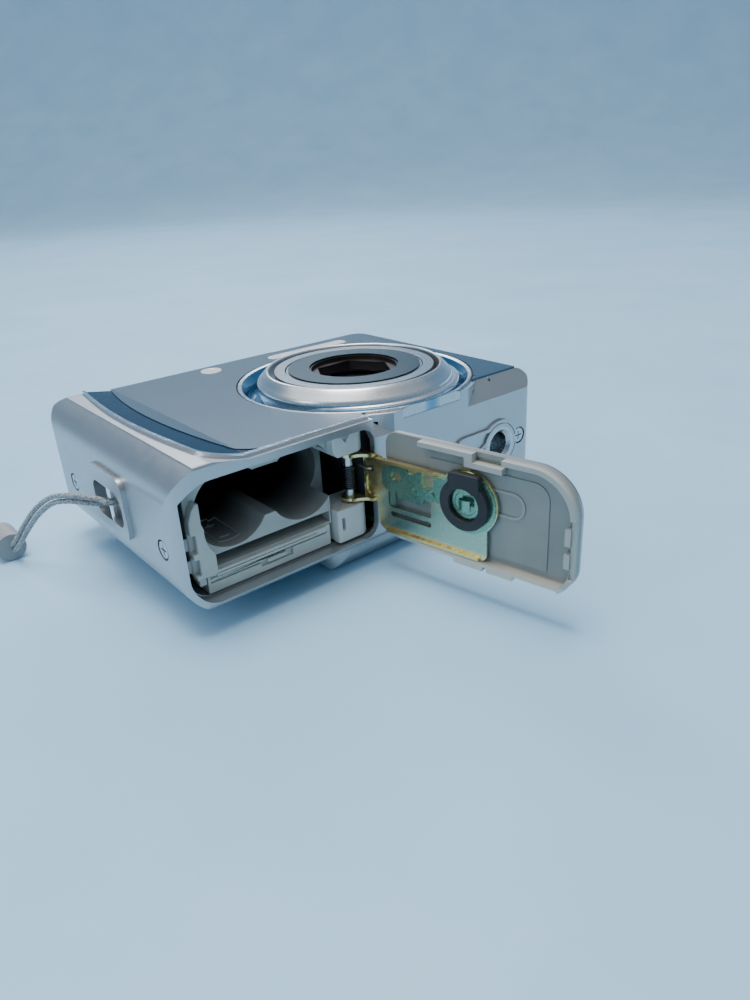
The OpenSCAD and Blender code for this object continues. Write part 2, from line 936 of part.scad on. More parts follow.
module contact_plate() {
    color([0.55, 0.66, 0.55])
        opened()
            difference() {
                along_y(plate_y + plate_t, 0.3) {
                    round_rect(pin_x - 22, 17.3, pin_x - 7.2, 22.4, 0, 1.2, 2.4, 0);
                    round_rect(pin_x - 10.4, 14.2, pin_x - 9, 18, 0.3, 0.3, 0.3, 0.3);
                    round_rect(pin_x - 17, 15.9, pin_x - 10.8, 17.6, 0.9, 0.6, 0.2, 0.2);
                    translate([ring_x, plate_ring_z])
                        circle(5.9);
                }
                along_y(plate_y, 3) {
                    translate([ring_x, plate_ring_z])
                        circle(2.4);
                    round_rect(pin_x - 11.8, 19.6, pin_x - 9.4, 21.2, 0.7, 0.7, 0.7, 0.7);
                    round_rect(pin_x - 19.4, 19.8, pin_x - 16.6, 23, 1.2, 0.3, 0, 0);
                    round_rect(pin_x - 15.6, 21.6, pin_x - 13, 23, 1, 1, 0, 0);
                    for (p = [[14.6, 18], [18.6, 18.4]])
                        translate([pin_x - p[0], p[1]])
                            circle(0.5);
                }
            }
}

module contact_rivets() {
    color([0.8, 0.8, 0.7])
        opened()
            for (p = [[14.6, 18], [18.6, 18.4]]) {
                post_y(pin_x - p[0], p[1], plate_y + plate_t, plate_y + plate_t + 0.3, 0.5);
                post_y(pin_x - p[0], p[1], plate_y + plate_t + 0.3, plate_y + plate_t + 0.7, 0.9);
            }
}

module contact_ring() {
    color([0.05, 0.06, 0.08])
        opened()
            difference() {
                union() {
                    post_y(ring_x, plate_ring_z, plate_y + plate_t + 0.3, plate_y + plate_t + 1.5, 5);
                    along_y(plate_y + plate_t + 0.3, 1.5)
                        round_rect(ring_x - 3.4, 21.4, ring_x + 3, 25, 0.8, 0.8, 0.8, 0.8);
                }
                post_y(ring_x, plate_ring_z, plate_y, -20, 3.1);
            }
}

module contact_leaf() {
    color([0.7, 0.75, 0.68])
        opened()
            difference() {
                union() {
                    post_y(ring_x, plate_ring_z, plate_y + plate_t + 0.3, plate_y + plate_t + 0.6, 2.9);
                    block(ring_x - 0.5, ring_x + 0.5, plate_y + plate_t + 0.3, -21.2, 18, 20.8);
                }
                block(ring_x - 0.2, ring_x + 0.8, -22, -21.5, 17.4, 20.4);
            }
}

module door_cover() {
    color([0.76, 0.76, 0.74])
        slid_open() {
            door_relief();
            difference() {
                along_y(-base_y, 3)
                    door_outline(0);
                along_y(door_floor, 3)
                    difference() {
                        door_outline(0.9);
                        translate([-60, bay_z0])
                            square([60, 1.85]);
                        translate([-55, 11.9])
                            square([1.25, 2.7]);
                        translate([-55, 16.1])
                            square([1.25, 3.1]);
                        translate([-42, 26])
                            square([7.5, 1]);
                        translate([-36.1, 26])
                            square([1.6, 2]);
                    }
                along_y(door_floor, 3)
                    difference() {
                        translate([-53, bay_z0])
                            square([28.5, 1.2]);
                        translate([-38.3, bay_z0])
                            square([6.2, 1.2]);
                        translate([-44.4, bay_z0])
                            square([5.2, 1.2]);
                    }
                along_y(door_floor, 3)
                    translate([-24.5, bay_z0])
                        square([20, bay_z1 - bay_z0]);
                along_y(-23.6, 3)
                    translate([-41.9, 27])
                        square([5.8, 4]);
                along_y(door_floor + 1, 3)
                    translate([-56, 10])
                        square([1.25, 11]);
                along_y(door_floor + 1.4, 3)
                    translate([-56, 10])
                        square([3, 11]);
            }
        }
}

// Shallow raised panel and stadium-shaped ridge on the inside of the door
module door_relief() {
    along_y(door_floor - eps, 0.2)
        round_rect(-50.2, 9.4, -26, 25.4, 0.4, 0.4, 0.4, 3);
    along_y(door_floor - eps, 0.45)
        difference() {
            round_rect(-45.9, 17.6, -30, 22.6, 2.45, 2.45, 2.45, 2.45);
            round_rect(-45.4, 18.1, -30.5, 22.1, 1.95, 1.95, 1.95, 1.95);
        }
}

// Outline of the door inside the bay mouth
module door_outline(g) {
    x = -grip_x + wall + 0.15 + g;
    intersection() {
        side_outline(wall + 0.15 + g);
        round_rect(x, bay_z0 + 0.3 + g, bay_x1 - 0.3, bay_z1 - 0.3 - g, 4 - g, 2.7, 2.7, 8 - g);
    }
}

// ---- Fittings ----

module tripod_socket() {
    color([0.8, 0.8, 0.82])
        difference() {
            post_y(socket_x, socket_z, -25.6, -18, 4.2);
            post_y(socket_x, socket_z, -26, -19, 2.75);
            translate([socket_x, -25.6 - eps, socket_z])
                rotate([-90, 0, 0])
                    cylinder(h = 0.8, r1 = 3.5, r2 = 2.75);
        }
}

module case_screws() {
    color([0.75, 0.75, 0.76])
        screw_places()
            difference() {
                union() {
                    translate([0, 0, 0.1])
                        cylinder(h = 0.7, r = 1.6);
                    translate([0, 0, 0.8])
                        cylinder(h = 2, r = 0.8);
                }
                for (a = [0, 90])
                    rotate([0, 0, a])
                        translate([-1, -0.15, 0])
                            cube([2, 0.3, 0.5]);
            }
}

module strap_bar() {
    color([0.75, 0.75, 0.76])
        bar_space();
}

// ---- Controls ----

module shutter_button() {
    color([0.8, 0.81, 0.84]) {
        post_y(-44, top_button_z, 33.5, 36.4, shutter_r);
        post_y(-44, top_button_z, chamber_y1 + 1.3, 33.5, 1.2);
    }
}

module power_button() {
    color([0.6, 0.63, 0.68]) {
        post_y(-30, top_button_z, 33.5, 35.9, 2.8);
        post_y(-30, top_button_z, chamber_y1 + 1.3, 33.5, 1.2);
    }
}

module zoom_rocker() {
    color([0.55, 0.58, 0.62]) {
        along_y(23, 6)
            polygon([[-50, 7.4], [-50, 4.2], [-45, 4.5], [-42, 4.6], [-39, 4.5], [-34, 4.2],
                [-34, 7.4], [-42, 7.9]]);
        post_y(pad_x, rocker_z, 21.8, 30.2, 0.6);
    }
}

module menu_button() {
    color([0.6, 0.63, 0.68])
        post(-48, 15, 4.2, 7.9, 2.2);
}

module play_button() {
    color([0.6, 0.63, 0.68])
        post(-36, 15, 4.2, 7.9, 2.2);
}

module four_way_pad() {
    color([0.65, 0.68, 0.72])
        difference() {
            post(pad_x, pad_y, 4.2, 7.9, pad_r);
            post(pad_x, pad_y, 4, 9, ok_r + 0.2);
        }
}

module ok_button() {
    color([0.8, 0.81, 0.84])
        post(pad_x, pad_y, 4, 7.9, ok_r);
}

// ---- Strap ----

module strap_loop() {
    color([0.5, 0.5, 0.5])
        swept_tube(smooth_route(loop_route, 3), cord_d / 2, 8, [0, 0, 1]);
}

module strap_slider() {
    color([0.45, 0.46, 0.48])
        translate([-71.4, 31.4, 3])
            rotate([-90, 0, 0])
                cylinder(h = 8.2, r = 3);
}

module strap_tail() {
    color([0.5, 0.5, 0.5])
        for (route = [tail_out, tail_back])
            swept_tube(smooth_route(route, 2), tail_d / 2, 8, [0, 0, 1]);
}

module strap_hank() {
    color([0.5, 0.5, 0.5])
        translate([-96, 53, 0])
            linear_extrude(height = 4)
                union() {
                    square([14, 16], center = true);
                    for (x = [-7, 7])
                        translate([x, 0])
                            circle(8);
                }
}

front_cover();
rear_cover();
front_panel();
accent_strip();
chrome_trim();
lens_dish();
lens_bezel();
lens_guide();
outer_barrel();
inner_barrel();
name_ring();
lens_baffle();
front_element();
rear_element();
lens_base();
image_sensor();
zoom_motor();
flash_window();
flash_reflector();
flash_capacitor();
timer_lamp();
microphone();
main_board();
button_board();
button_switches();
lcd_module();
lcd_window();
status_lights();
speaker();
usb_socket();
port_cover();
battery_chamber();
cell_contacts();
card_tray();
card_contacts();
catch_post();
upper_hinge_block();
lower_hinge_block();
hinge_pin();
hinge_spring();
hinge_plate();
contact_plate();
contact_rivets();
contact_ring();
contact_leaf();
door_cover();
tripod_socket();
case_screws();
strap_bar();
shutter_button();
power_button();
zoom_rocker();
menu_button();
play_button();
four_way_pad();
ok_button();
strap_loop();
strap_slider();
strap_tail();
strap_hank();
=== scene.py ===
"""Looks of a compact digital camera lying on its back with its battery door open.

Everything is in metres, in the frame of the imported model: +Z is the optical axis,
-Y the camera's base, -X its grip end, and z = 0 the surface that it lies on.
"""

import json
import math

import bmesh
import bpy
from mathutils import Matrix, Vector


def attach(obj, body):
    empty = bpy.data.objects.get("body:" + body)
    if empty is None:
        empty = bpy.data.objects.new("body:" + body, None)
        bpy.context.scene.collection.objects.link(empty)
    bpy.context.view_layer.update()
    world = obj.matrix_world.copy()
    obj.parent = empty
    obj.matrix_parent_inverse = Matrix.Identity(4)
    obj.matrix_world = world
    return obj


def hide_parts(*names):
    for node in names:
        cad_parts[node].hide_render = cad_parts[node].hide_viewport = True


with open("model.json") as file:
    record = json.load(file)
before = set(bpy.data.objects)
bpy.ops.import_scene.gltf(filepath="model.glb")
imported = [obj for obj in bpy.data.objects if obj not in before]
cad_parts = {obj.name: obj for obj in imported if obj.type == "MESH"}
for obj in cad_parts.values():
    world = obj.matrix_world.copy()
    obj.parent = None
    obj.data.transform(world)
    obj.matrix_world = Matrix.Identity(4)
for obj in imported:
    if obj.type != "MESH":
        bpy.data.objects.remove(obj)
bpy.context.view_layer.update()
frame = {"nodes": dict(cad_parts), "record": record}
nodes = frame["nodes"]
MM = 0.001


# ---- Camera, floor and light ----

CAMERA_PLACE = Vector((-99.7, -130.7, 76.3)) * MM
CAMERA_AZIMUTH = 38.36
CAMERA_DROP = 24.87
CAMERA_ROLL = 3.33
LENS_MM = 27.17

# Battery door's hinge: the pin's axis, and the open door's length and outward directions
OPEN_ANGLE = 100.5
PIN_X, PIN_Y = -18.9, -20.8
PIN = Vector((PIN_X, PIN_Y, 0)) * MM
DOOR_TURN = Matrix.Rotation(math.radians(OPEN_ANGLE), 3, "Z")
DOOR_OUT = DOOR_TURN @ Vector((-1, 0, 0))
DOOR_FACING = DOOR_TURN @ Vector((0, -1, 0))

# Battery bay, in millimetres: the bores' mouth, and the first bore's axis and radius
MOUTH_Y = -21.7
CELL_X, CELL_Z, CELL_R = -45.3, 21.3, 7.4

# Height of the door's contact ring and leaf, in millimetres
RING_Z = 19


def make_camera():
    data = bpy.data.cameras.new("view")
    data.lens = LENS_MM
    data.sensor_width = 36
    data.clip_start = 0.005
    data.clip_end = 40
    camera = bpy.data.objects.new("view", data)
    bpy.context.scene.collection.objects.link(camera)
    turn = Matrix.Rotation(math.radians(-CAMERA_AZIMUTH), 4, "Z")
    tilt = Matrix.Rotation(math.radians(90 - CAMERA_DROP), 4, "X")
    roll = Matrix.Rotation(math.radians(-CAMERA_ROLL), 4, "Z")
    camera.matrix_world = Matrix.Translation(CAMERA_PLACE) @ turn @ tilt @ roll
    bpy.context.scene.camera = camera


def make_light(name, place, aim, size, power, colour):
    """Rectangular light of size metres at place, turned towards aim."""
    data = bpy.data.lights.new(name, "AREA")
    data.shape = "RECTANGLE"
    data.size, data.size_y = size
    data.energy = power
    data.color = colour
    light = bpy.data.objects.new(name, data)
    light.location = place
    light.rotation_euler = (Vector(aim) - Vector(place)).to_track_quat("-Z", "Y").to_euler()
    bpy.context.scene.collection.objects.link(light)


def make_studio():
    world = bpy.data.worlds.new("studio")
    world.use_nodes = True
    tree = world.node_tree
    tree.nodes["Background"].inputs["Strength"].default_value = 0.75
    place = tree.nodes.new("ShaderNodeTexCoord")
    axes = tree.nodes.new("ShaderNodeSeparateXYZ")
    ramp = tree.nodes.new("ShaderNodeValToRGB")
    stops = ramp.color_ramp.elements
    stops[0].color = (0.20, 0.34, 0.47, 1)
    stops[1].color = (0.95, 0.98, 1.0, 1)
    low = stops.new(0.45)
    low.color = (0.26, 0.38, 0.50, 1)
    high = stops.new(0.8)
    high.color = (0.48, 0.57, 0.66, 1)
    tree.links.new(place.outputs["Generated"], axes.inputs[0])
    tree.links.new(axes.outputs["Z"], ramp.inputs[0])
    tree.links.new(ramp.outputs[0], tree.nodes["Background"].inputs["Color"])
    bpy.context.scene.world = world
    warm, cool = (1.0, 0.99, 0.97), (0.95, 0.98, 1.0)
    camera_middle = (0, 0, 0.02)
    make_light("key", (-0.05, 0.05, 0.85), camera_middle, (0.40, 0.40), 5.5, warm)
    make_light("back", (0.35, 0.75, 0.55), camera_middle, (0.5, 0.25), 2.6, cool)
    make_light("left", (-0.75, 0.1, 0.4), camera_middle, (0.25, 0.4), 1.2, cool)
    sky = bpy.data.lights.new("sky", "SUN")
    sky.energy = 1.1
    sky.angle = 1.2
    sky.color = cool
    overhead = bpy.data.objects.new("sky", sky)
    overhead.rotation_euler = (math.radians(-14), math.radians(-8), 0)
    bpy.context.scene.collection.objects.link(overhead)


def make_floor():
    """A sheet of paper that lies flat, then sweeps up behind the object."""
    azimuth = math.radians(CAMERA_AZIMUTH)
    away = Vector((math.sin(azimuth), math.cos(azimuth), 0))
    across = Vector((away.y, -away.x, 0))
    near_edge, sweep_start, sweep_r, top_edge, half_width = -3.0, 0.9, 0.8, 3.0, 5
    side_on = [(near_edge, 0.0), (sweep_start, 0.0)]
    for degrees in range(5, 91, 5):
        a = math.radians(degrees)
        side_on.append((sweep_start + sweep_r * math.sin(a), sweep_r - sweep_r * math.cos(a)))
    side_on.append((sweep_start + sweep_r, top_edge))
    verts, faces = [], []
    for out, up in side_on:
        for side in (-half_width, half_width):
            verts.append(away * out + across * side + Vector((0, 0, up)))
    for i in range(len(side_on) - 1):
        faces.append((2 * i, 2 * i + 1, 2 * i + 3, 2 * i + 2))
    mesh = bpy.data.meshes.new("floor")
    mesh.from_pydata(verts, [], faces)
    for face in mesh.polygons:
        face.use_smooth = True
    floor = bpy.data.objects.new("floor", mesh)
    bpy.context.scene.collection.objects.link(floor)
    floor.location.z = -0.0001
    floor.data.materials.append(floor_paper())


# ---- Materials ----

# Darkest and lightest flakes of the case's silver lacquer
SILVER_DARK = (0.455, 0.465, 0.48)
SILVER_LIGHT = (0.49, 0.50, 0.515)


class Shader:
    """A Principled material and short ways to feed it."""

    def __init__(self, name, colour, metallic=0.0, roughness=0.5, **constants):
        self.material = bpy.data.materials.new(name)
        self.material.use_nodes = True
        self.tree = self.material.node_tree
        self.shader = self.tree.nodes["Principled BSDF"]
        self.set("Base Color", (*colour, 1))
        self.set("Metallic", metallic)
        self.set("Roughness", roughness)
        for socket, value in constants.items():
            self.set(socket.replace("_", " "), value)
        self.place = self.node("ShaderNodeTexCoord").outputs["Object"]

    def set(self, socket, value):
        self.shader.inputs[socket].default_value = value

    def node(self, kind, **inputs):
        made = self.tree.nodes.new(kind)
        for socket, value in inputs.items():
            self.feed(made.inputs[socket.replace("_", " ")], value)
        return made

    def feed(self, socket, value):
        if isinstance(value, bpy.types.NodeSocket):
            self.tree.links.new(value, socket)
        else:
            socket.default_value = value

    def noise(self, size_mm, detail=2.0, stretch=(1, 1, 1), rough=0.5):
        """Noise from 0 to 1 whose blobs are about size_mm across."""
        scaled = self.node("ShaderNodeMapping", Vector=self.place, Scale=stretch)
        made = self.node("ShaderNodeTexNoise", Vector=scaled.outputs[0], Scale=1 / (size_mm * MM),
                         Detail=detail, Roughness=rough)
        return made.outputs["Fac"]

    def ramp(self, value, low, high, from_low=0.3, from_high=0.7):
        """value taken from its own range to low..high, clamped."""
        made = self.node("ShaderNodeMapRange")
        self.feed(made.inputs["Value"], value)
        for socket, number in (("From Min", from_low), ("From Max", from_high),
                               ("To Min", low), ("To Max", high)):
            made.inputs[socket].default_value = number
        return made.outputs["Result"]

    def mix(self, amount, first, second):
        """Colour that goes from first to second with amount."""
        made = self.tree.nodes.new("ShaderNodeMix")
        made.data_type = "RGBA"
        self.feed(made.inputs[0], amount)
        self.feed(made.inputs[6], (*first, 1) if isinstance(first, tuple) else first)
        self.feed(made.inputs[7], (*second, 1) if isinstance(second, tuple) else second)
        return made.outputs[2]

    def math(self, operation, first, second=0.0):
        made = self.tree.nodes.new("ShaderNodeMath")
        made.operation = operation
        self.feed(made.inputs[0], first)
        self.feed(made.inputs[1], second)
        return made.outputs[0]

    def axis_distance(self):
        """Distance from the optical axis, in metres."""
        axes = self.node("ShaderNodeSeparateXYZ", Vector=self.place)
        across = self.math("POWER", axes.outputs["X"], 2.0)
        along = self.math("POWER", axes.outputs["Y"], 2.0)
        return self.math("SQRT", self.math("ADD", across, along))

    def along(self, direction, start):
        """Distance in metres along direction from the point start."""
        place = self.tree.nodes.new("ShaderNodeVectorMath")
        place.operation = "SUBTRACT"
        self.feed(place.inputs[0], self.place)
        self.feed(place.inputs[1], tuple(start))
        made = self.tree.nodes.new("ShaderNodeVectorMath")
        made.operation = "DOT_PRODUCT"
        self.feed(made.inputs[0], place.outputs[0])
        self.feed(made.inputs[1], tuple(direction))
        return made.outputs["Value"]

    def height(self):
        """Height in metres above the surface that the camera lies on."""
        return self.along((0, 0, 1), (0, 0, 0))

    def colour(self, value):
        self.feed(self.shader.inputs["Base Color"], value)

    def roughness(self, value):
        self.feed(self.shader.inputs["Roughness"], value)

    def bump(self, height, depth_mm, strength=1.0):
        made = self.node("ShaderNodeBump", Height=height, Distance=depth_mm * MM, Strength=strength)
        self.feed(self.shader.inputs["Normal"], made.outputs[0])


def floor_paper():
    s = Shader("floor_paper", (0.42, 0.66, 0.86), 0, 0.6)
    s.colour(s.mix(s.ramp(s.noise(60, 4), 0, 1), (0.36, 0.61, 0.82), (0.42, 0.67, 0.87)))
    s.roughness(s.ramp(s.noise(9, 3), 0.5, 0.68))
    s.bump(s.noise(0.6, 3), 0.02, 0.3)
    return s.material


def flake_paint(s, dark, light, flake_mm=0.22):
    """Metallic lacquer: fine flakes and a depth that drifts a little."""
    base = s.mix(s.ramp(s.noise(flake_mm, 1), 0, 1), dark, light)
    return s.mix(s.ramp(s.noise(14, 3), 0, 0.25), base, tuple(0.88 * c for c in dark))


def silver_paint():
    s = Shader("silver_paint", (0.5, 0.52, 0.55), 0.85, 0.34, Coat_Weight=0.2, Coat_Roughness=0.2)
    s.colour(flake_paint(s, SILVER_DARK, SILVER_LIGHT))
    s.roughness(s.ramp(s.noise(2.5, 3), 0.32, 0.38))
    s.bump(s.noise(0.8, 2), 0.0012, 0.2)
    return s.material


def brushed_panel():
    """Blue-grey anodised sheet: a faint grain and a scatter of fine dust."""
    s = Shader("brushed_panel", (0.045, 0.09, 0.14), 0.3, 0.3)
    s.set("Specular IOR Level", 0.3)
    grain = s.noise(0.16, 3, (0.08, 1, 1), 0.6)
    base = s.mix(s.ramp(s.noise(0.2, 1), 0, 1), (0.040, 0.080, 0.124), (0.047, 0.092, 0.140))
    base = s.mix(s.ramp(grain, 0, 0.3, 0.45, 0.7), base, (0.06, 0.105, 0.155))
    dust = s.ramp(s.noise(0.9, 2), 0, 0.3, 0.75, 0.79)
    s.colour(s.mix(dust, base, (0.34, 0.40, 0.46)))
    s.roughness(s.ramp(grain, 0.28, 0.36, 0.35, 0.65))
    s.bump(grain, 0.0008, 0.3)
    return s.material


def dark_gloss():
    s = Shader("dark_gloss", (0.003, 0.022, 0.05), 0.0, 0.2)
    s.set("Specular IOR Level", 0.12)
    s.colour(s.mix(s.ramp(s.noise(5, 3), 0, 1), (0.002, 0.016, 0.042), (0.003, 0.024, 0.058)))
    s.roughness(s.ramp(s.noise(1.4, 4), 0.16, 0.26))
    s.bump(s.noise(0.12, 4), 0.001, 0.3)
    return s.material


def mirror_trough():
    """Blue mirror inside the trough, silver lacquer on its rim."""
    s = Shader("mirror_trough", (0.25, 0.42, 0.55), 0.95, 0.12, Coat_Weight=0.3)
    rim = s.ramp(s.axis_distance(), 0, 1, 25.0 * MM, 25.1 * MM)
    spun = s.noise(0.5, 3, (1, 1, 6))
    blue = s.mix(s.ramp(spun, 0, 1), (0.09, 0.22, 0.34), (0.17, 0.34, 0.48))
    s.colour(s.mix(rim, blue, flake_paint(s, (0.50, 0.52, 0.54), (0.55, 0.57, 0.59))))
    s.roughness(s.math("ADD", s.ramp(s.noise(0.8, 4), 0.09, 0.18), s.math("MULTIPLY", rim, 0.14)))
    s.bump(s.noise(0.3, 3), 0.002, 0.3)
    return s.material


def bright_chrome():
    s = Shader("bright_chrome", (0.85, 0.87, 0.89), 1.0, 0.12)
    s.colour(s.mix(s.ramp(s.noise(1.6, 4), 0, 1), (0.78, 0.80, 0.83), (0.90, 0.92, 0.94)))
    s.roughness(s.ramp(s.noise(0.7, 4), 0.08, 0.2))
    s.bump(s.noise(0.2, 3), 0.001, 0.3)
    return s.material


def turned_metal(name, dark, light, low, high, rings_mm=0.16):
    """Metal turned on a lathe about the optical axis: fine rings."""
    s = Shader(name, light, 0.9, low)
    axes = s.node("ShaderNodeSeparateXYZ", Vector=s.place)
    depth = s.math("ADD", s.axis_distance(), axes.outputs["Z"])
    along_radius = s.node("ShaderNodeCombineXYZ", X=depth)
    rings = s.node("ShaderNodeTexNoise", Vector=along_radius.outputs[0], Scale=1 / (rings_mm * MM),
                   Detail=3.0)
    cut = rings.outputs["Fac"]
    speck = s.noise(0.12, 2)
    both = s.math("ADD", s.math("MULTIPLY", cut, 0.6), s.math("MULTIPLY", speck, 0.4))
    s.colour(s.mix(s.ramp(both, 0, 1, 0.35, 0.65), dark, light))
    s.roughness(s.ramp(both, low, high, 0.35, 0.65))
    s.bump(both, 0.003, 0.6)
    return s.material


def moulded(name, dark, light, low=0.42, high=0.6, grain_mm=0.18, depth_mm=0.008, **constants):
    """Injection-moulded plastic with a spark-eroded grain."""
    s = Shader(name, light, 0, low, **constants)
    grain = s.noise(grain_mm, 3)
    base = s.mix(s.ramp(s.noise(9, 4), 0, 1), dark, light)
    dust = s.ramp(s.noise(1.1, 6, rough=0.7), 0, 0.22, 0.52, 0.72)
    s.colour(s.mix(dust, base, tuple(0.82 * c for c in dark)))
    s.roughness(s.ramp(grain, low, high))
    s.bump(grain, depth_mm, 0.5)
    return s.material


def chamber_with_painted_shade():
    """Light grey moulding at the mouth, with painted shade that darkens it to near black down the bores and
    towards the camera's front.
    """
    s = Shader("chamber", (0.5, 0.49, 0.46), 0, 0.45)
    grain = s.noise(0.18, 3)
    # Painted shade: past the mouth the colour goes to near black with depth down the bores, and higher up
    # towards the camera's front, where little light gets in.
    past_mouth = s.along((0, 1, 0), (0, MOUTH_Y * MM, 0))
    painted_shade_depth = s.ramp(past_mouth, 0, 1, 1 * MM, 15 * MM)
    up = s.ramp(s.height(), 0, 0.85, 14 * MM, 26 * MM)
    mouth = s.ramp(past_mouth, 0, 1, 0.2 * MM, 0.8 * MM)
    dark = s.math("MAXIMUM", painted_shade_depth, s.math("MULTIPLY", up, mouth))
    light = s.mix(s.ramp(s.noise(9, 4), 0, 1), (0.40, 0.39, 0.36), (0.50, 0.49, 0.45))
    # Near-black painted shade laid over the light grey moulding.
    s.colour(s.mix(dark, light, (0.012, 0.012, 0.012)))
    s.roughness(s.ramp(grain, 0.42, 0.6))
    s.bump(grain, 0.008, 0.5)
    return s.material


def plated(name, dark, tint, light, low=0.24, high=0.3):
    """Plated and passivated sheet metal, whose tint drifts over the surface."""
    s = Shader(name, light, 0.9, low)
    streak = s.noise(1.2, 1, (0.3, 1, 1))
    base = s.mix(s.ramp(s.noise(3.2, 3), 0, 1), light, tint)
    s.colour(s.mix(s.ramp(streak, 0, 0.2, 0.4, 0.8), base, dark))
    s.roughness(s.ramp(streak, low, high))
    return s.material


def hinge_plating():
    """Yellow beside the hinge and on the folds, greenish over the rest of the plate."""
    s = Shader("yellow_zinc", (0.7, 0.58, 0.28), 0.9, 0.2)
    out = s.math("ADD", s.along(DOOR_OUT, PIN), s.math("MULTIPLY", s.noise(2.5, 3), 0.0015))
    height = s.height()
    far = s.ramp(out, 0, 1, 6.4 * MM, 8.6 * MM)
    below_top = s.ramp(height, 1, 0, 22.2 * MM, 22.6 * MM)
    above_fold = s.ramp(height, 0, 1, 9.0 * MM, 9.8 * MM)
    under_contact = s.ramp(height, 1, 0.35, 15.5 * MM, 17.5 * MM)
    green = s.math("MULTIPLY", s.math("MULTIPLY", far, under_contact),
                   s.math("MULTIPLY", below_top, above_fold))
    streak = s.noise(0.5, 2, (0.15, 1, 1))
    yellow = s.mix(s.ramp(streak, 0, 1), (0.72, 0.56, 0.24), (0.84, 0.70, 0.36))
    s.colour(s.mix(green, yellow, s.mix(s.ramp(streak, 0, 1), (0.34, 0.46, 0.36), (0.42, 0.54, 0.42))))
    s.roughness(s.ramp(streak, 0.16, 0.26))
    s.bump(streak, 0.0008, 0.2)
    return s.material


def door_moulding():
    """Silver lacquer on the outer skin; bare grey moulding inside, beige along its lower rail, with painted
    shade that makes the trough's floor darker than the rim tops.
    """
    s = Shader("door_inner", (0.4, 0.41, 0.39), 0, 0.4)
    outside = s.ramp(s.along(DOOR_FACING, PIN), 0, 1, 3.5 * MM, 3.56 * MM)
    height = s.height()
    beige = s.ramp(height, 1, 0, 7.8 * MM, 8.4 * MM)
    # Painted shade: the trough's floor, further from the rim, is painted darker than the lighter rim tops of
    # the same moulding.
    rim = s.ramp(s.along(DOOR_FACING, PIN), 1, 0, 1.9 * MM, 2.9 * MM)
    grain = s.noise(0.18, 3)
    floor = s.mix(s.ramp(s.noise(9, 4), 0, 1), (0.22, 0.23, 0.215), (0.27, 0.28, 0.26))
    body = s.mix(rim, floor, (0.42, 0.42, 0.385))
    body = s.mix(beige, body, (0.58, 0.55, 0.47))
    s.colour(s.mix(outside, body, flake_paint(s, SILVER_DARK, SILVER_LIGHT)))
    s.feed(s.shader.inputs["Metallic"], s.math("MULTIPLY", outside, 0.85))
    s.roughness(s.ramp(grain, 0.34, 0.46))
    s.bump(grain, 0.005, 0.4)
    return s.material


def rolled_metal(name, dark, light, low=0.22, high=0.36):
    s = Shader(name, light, 1.0, low)
    grain = s.noise(0.2, 4, (1, 0.12, 1))
    s.colour(s.mix(s.ramp(grain, 0, 1), dark, light))
    s.roughness(s.ramp(grain, low, high))
    s.bump(grain, 0.002, 0.4)
    return s.material


def lens_glass():
    s = Shader("lens_glass", (0.03, 0.035, 0.07), 0.0, 0.03, Coat_Weight=1.0, Coat_Roughness=0.02,
               IOR=1.7)
    s.colour(s.mix(s.ramp(s.noise(6, 2), 0, 1), (0.012, 0.015, 0.05), (0.05, 0.03, 0.08)))
    s.roughness(s.ramp(s.noise(3, 3), 0.02, 0.05))
    return s.material


def clear_window():
    # Ribbed clear plastic on a near-white base: partly its own pale colour, partly a painted highlight for
    # its glints.
    s = Shader("clear_window", (0.95, 0.96, 0.98), 0.0, 0.12, Transmission_Weight=0.35, IOR=1.49)
    axes = s.node("ShaderNodeSeparateXYZ", Vector=s.place)
    ribs = s.math("SINE", s.math("MULTIPLY", axes.outputs["X"], 2 * math.pi / (0.7 * MM)))
    s.colour(s.mix(s.ramp(ribs, 0, 1, -1, 1), (0.86, 0.89, 0.92), (0.96, 0.97, 0.98)))
    s.roughness(s.ramp(s.noise(1, 3), 0.08, 0.2))
    s.bump(ribs, 0.06, 0.6)
    return s.material


def dark_window():
    s = Shader("dark_window", (0.012, 0.014, 0.02), 0.0, 0.06, Coat_Weight=1.0, Coat_Roughness=0.03)
    s.colour(s.mix(s.ramp(s.noise(20, 3), 0, 1), (0.008, 0.01, 0.015), (0.02, 0.022, 0.03)))
    smears = s.noise(6, 5, (1, 0.3, 1), 0.7)
    s.roughness(s.ramp(smears, 0.04, 0.14, 0.4, 0.75))
    s.bump(s.noise(0.3, 4), 0.0008, 0.3)
    return s.material


def lamp_plastic(name, dark, light):
    s = Shader(name, light, 0.0, 0.15, Coat_Weight=0.6, Subsurface_Weight=0.2)
    s.colour(s.mix(s.ramp(s.noise(1.2, 3), 0, 1), dark, light))
    s.roughness(s.ramp(s.noise(0.5, 3), 0.1, 0.22))
    return s.material


def circuit_board():
    s = Shader("circuit_board", (0.03, 0.2, 0.09), 0.0, 0.3, Coat_Weight=0.4)
    tracks = s.noise(1.2, 0, (1, 0.15, 1))
    s.colour(s.mix(s.ramp(tracks, 0, 1, 0.48, 0.52), (0.02, 0.15, 0.06), (0.04, 0.27, 0.12)))
    s.roughness(s.ramp(s.noise(0.4, 3), 0.25, 0.4))
    s.bump(tracks, 0.03, 0.5)
    return s.material


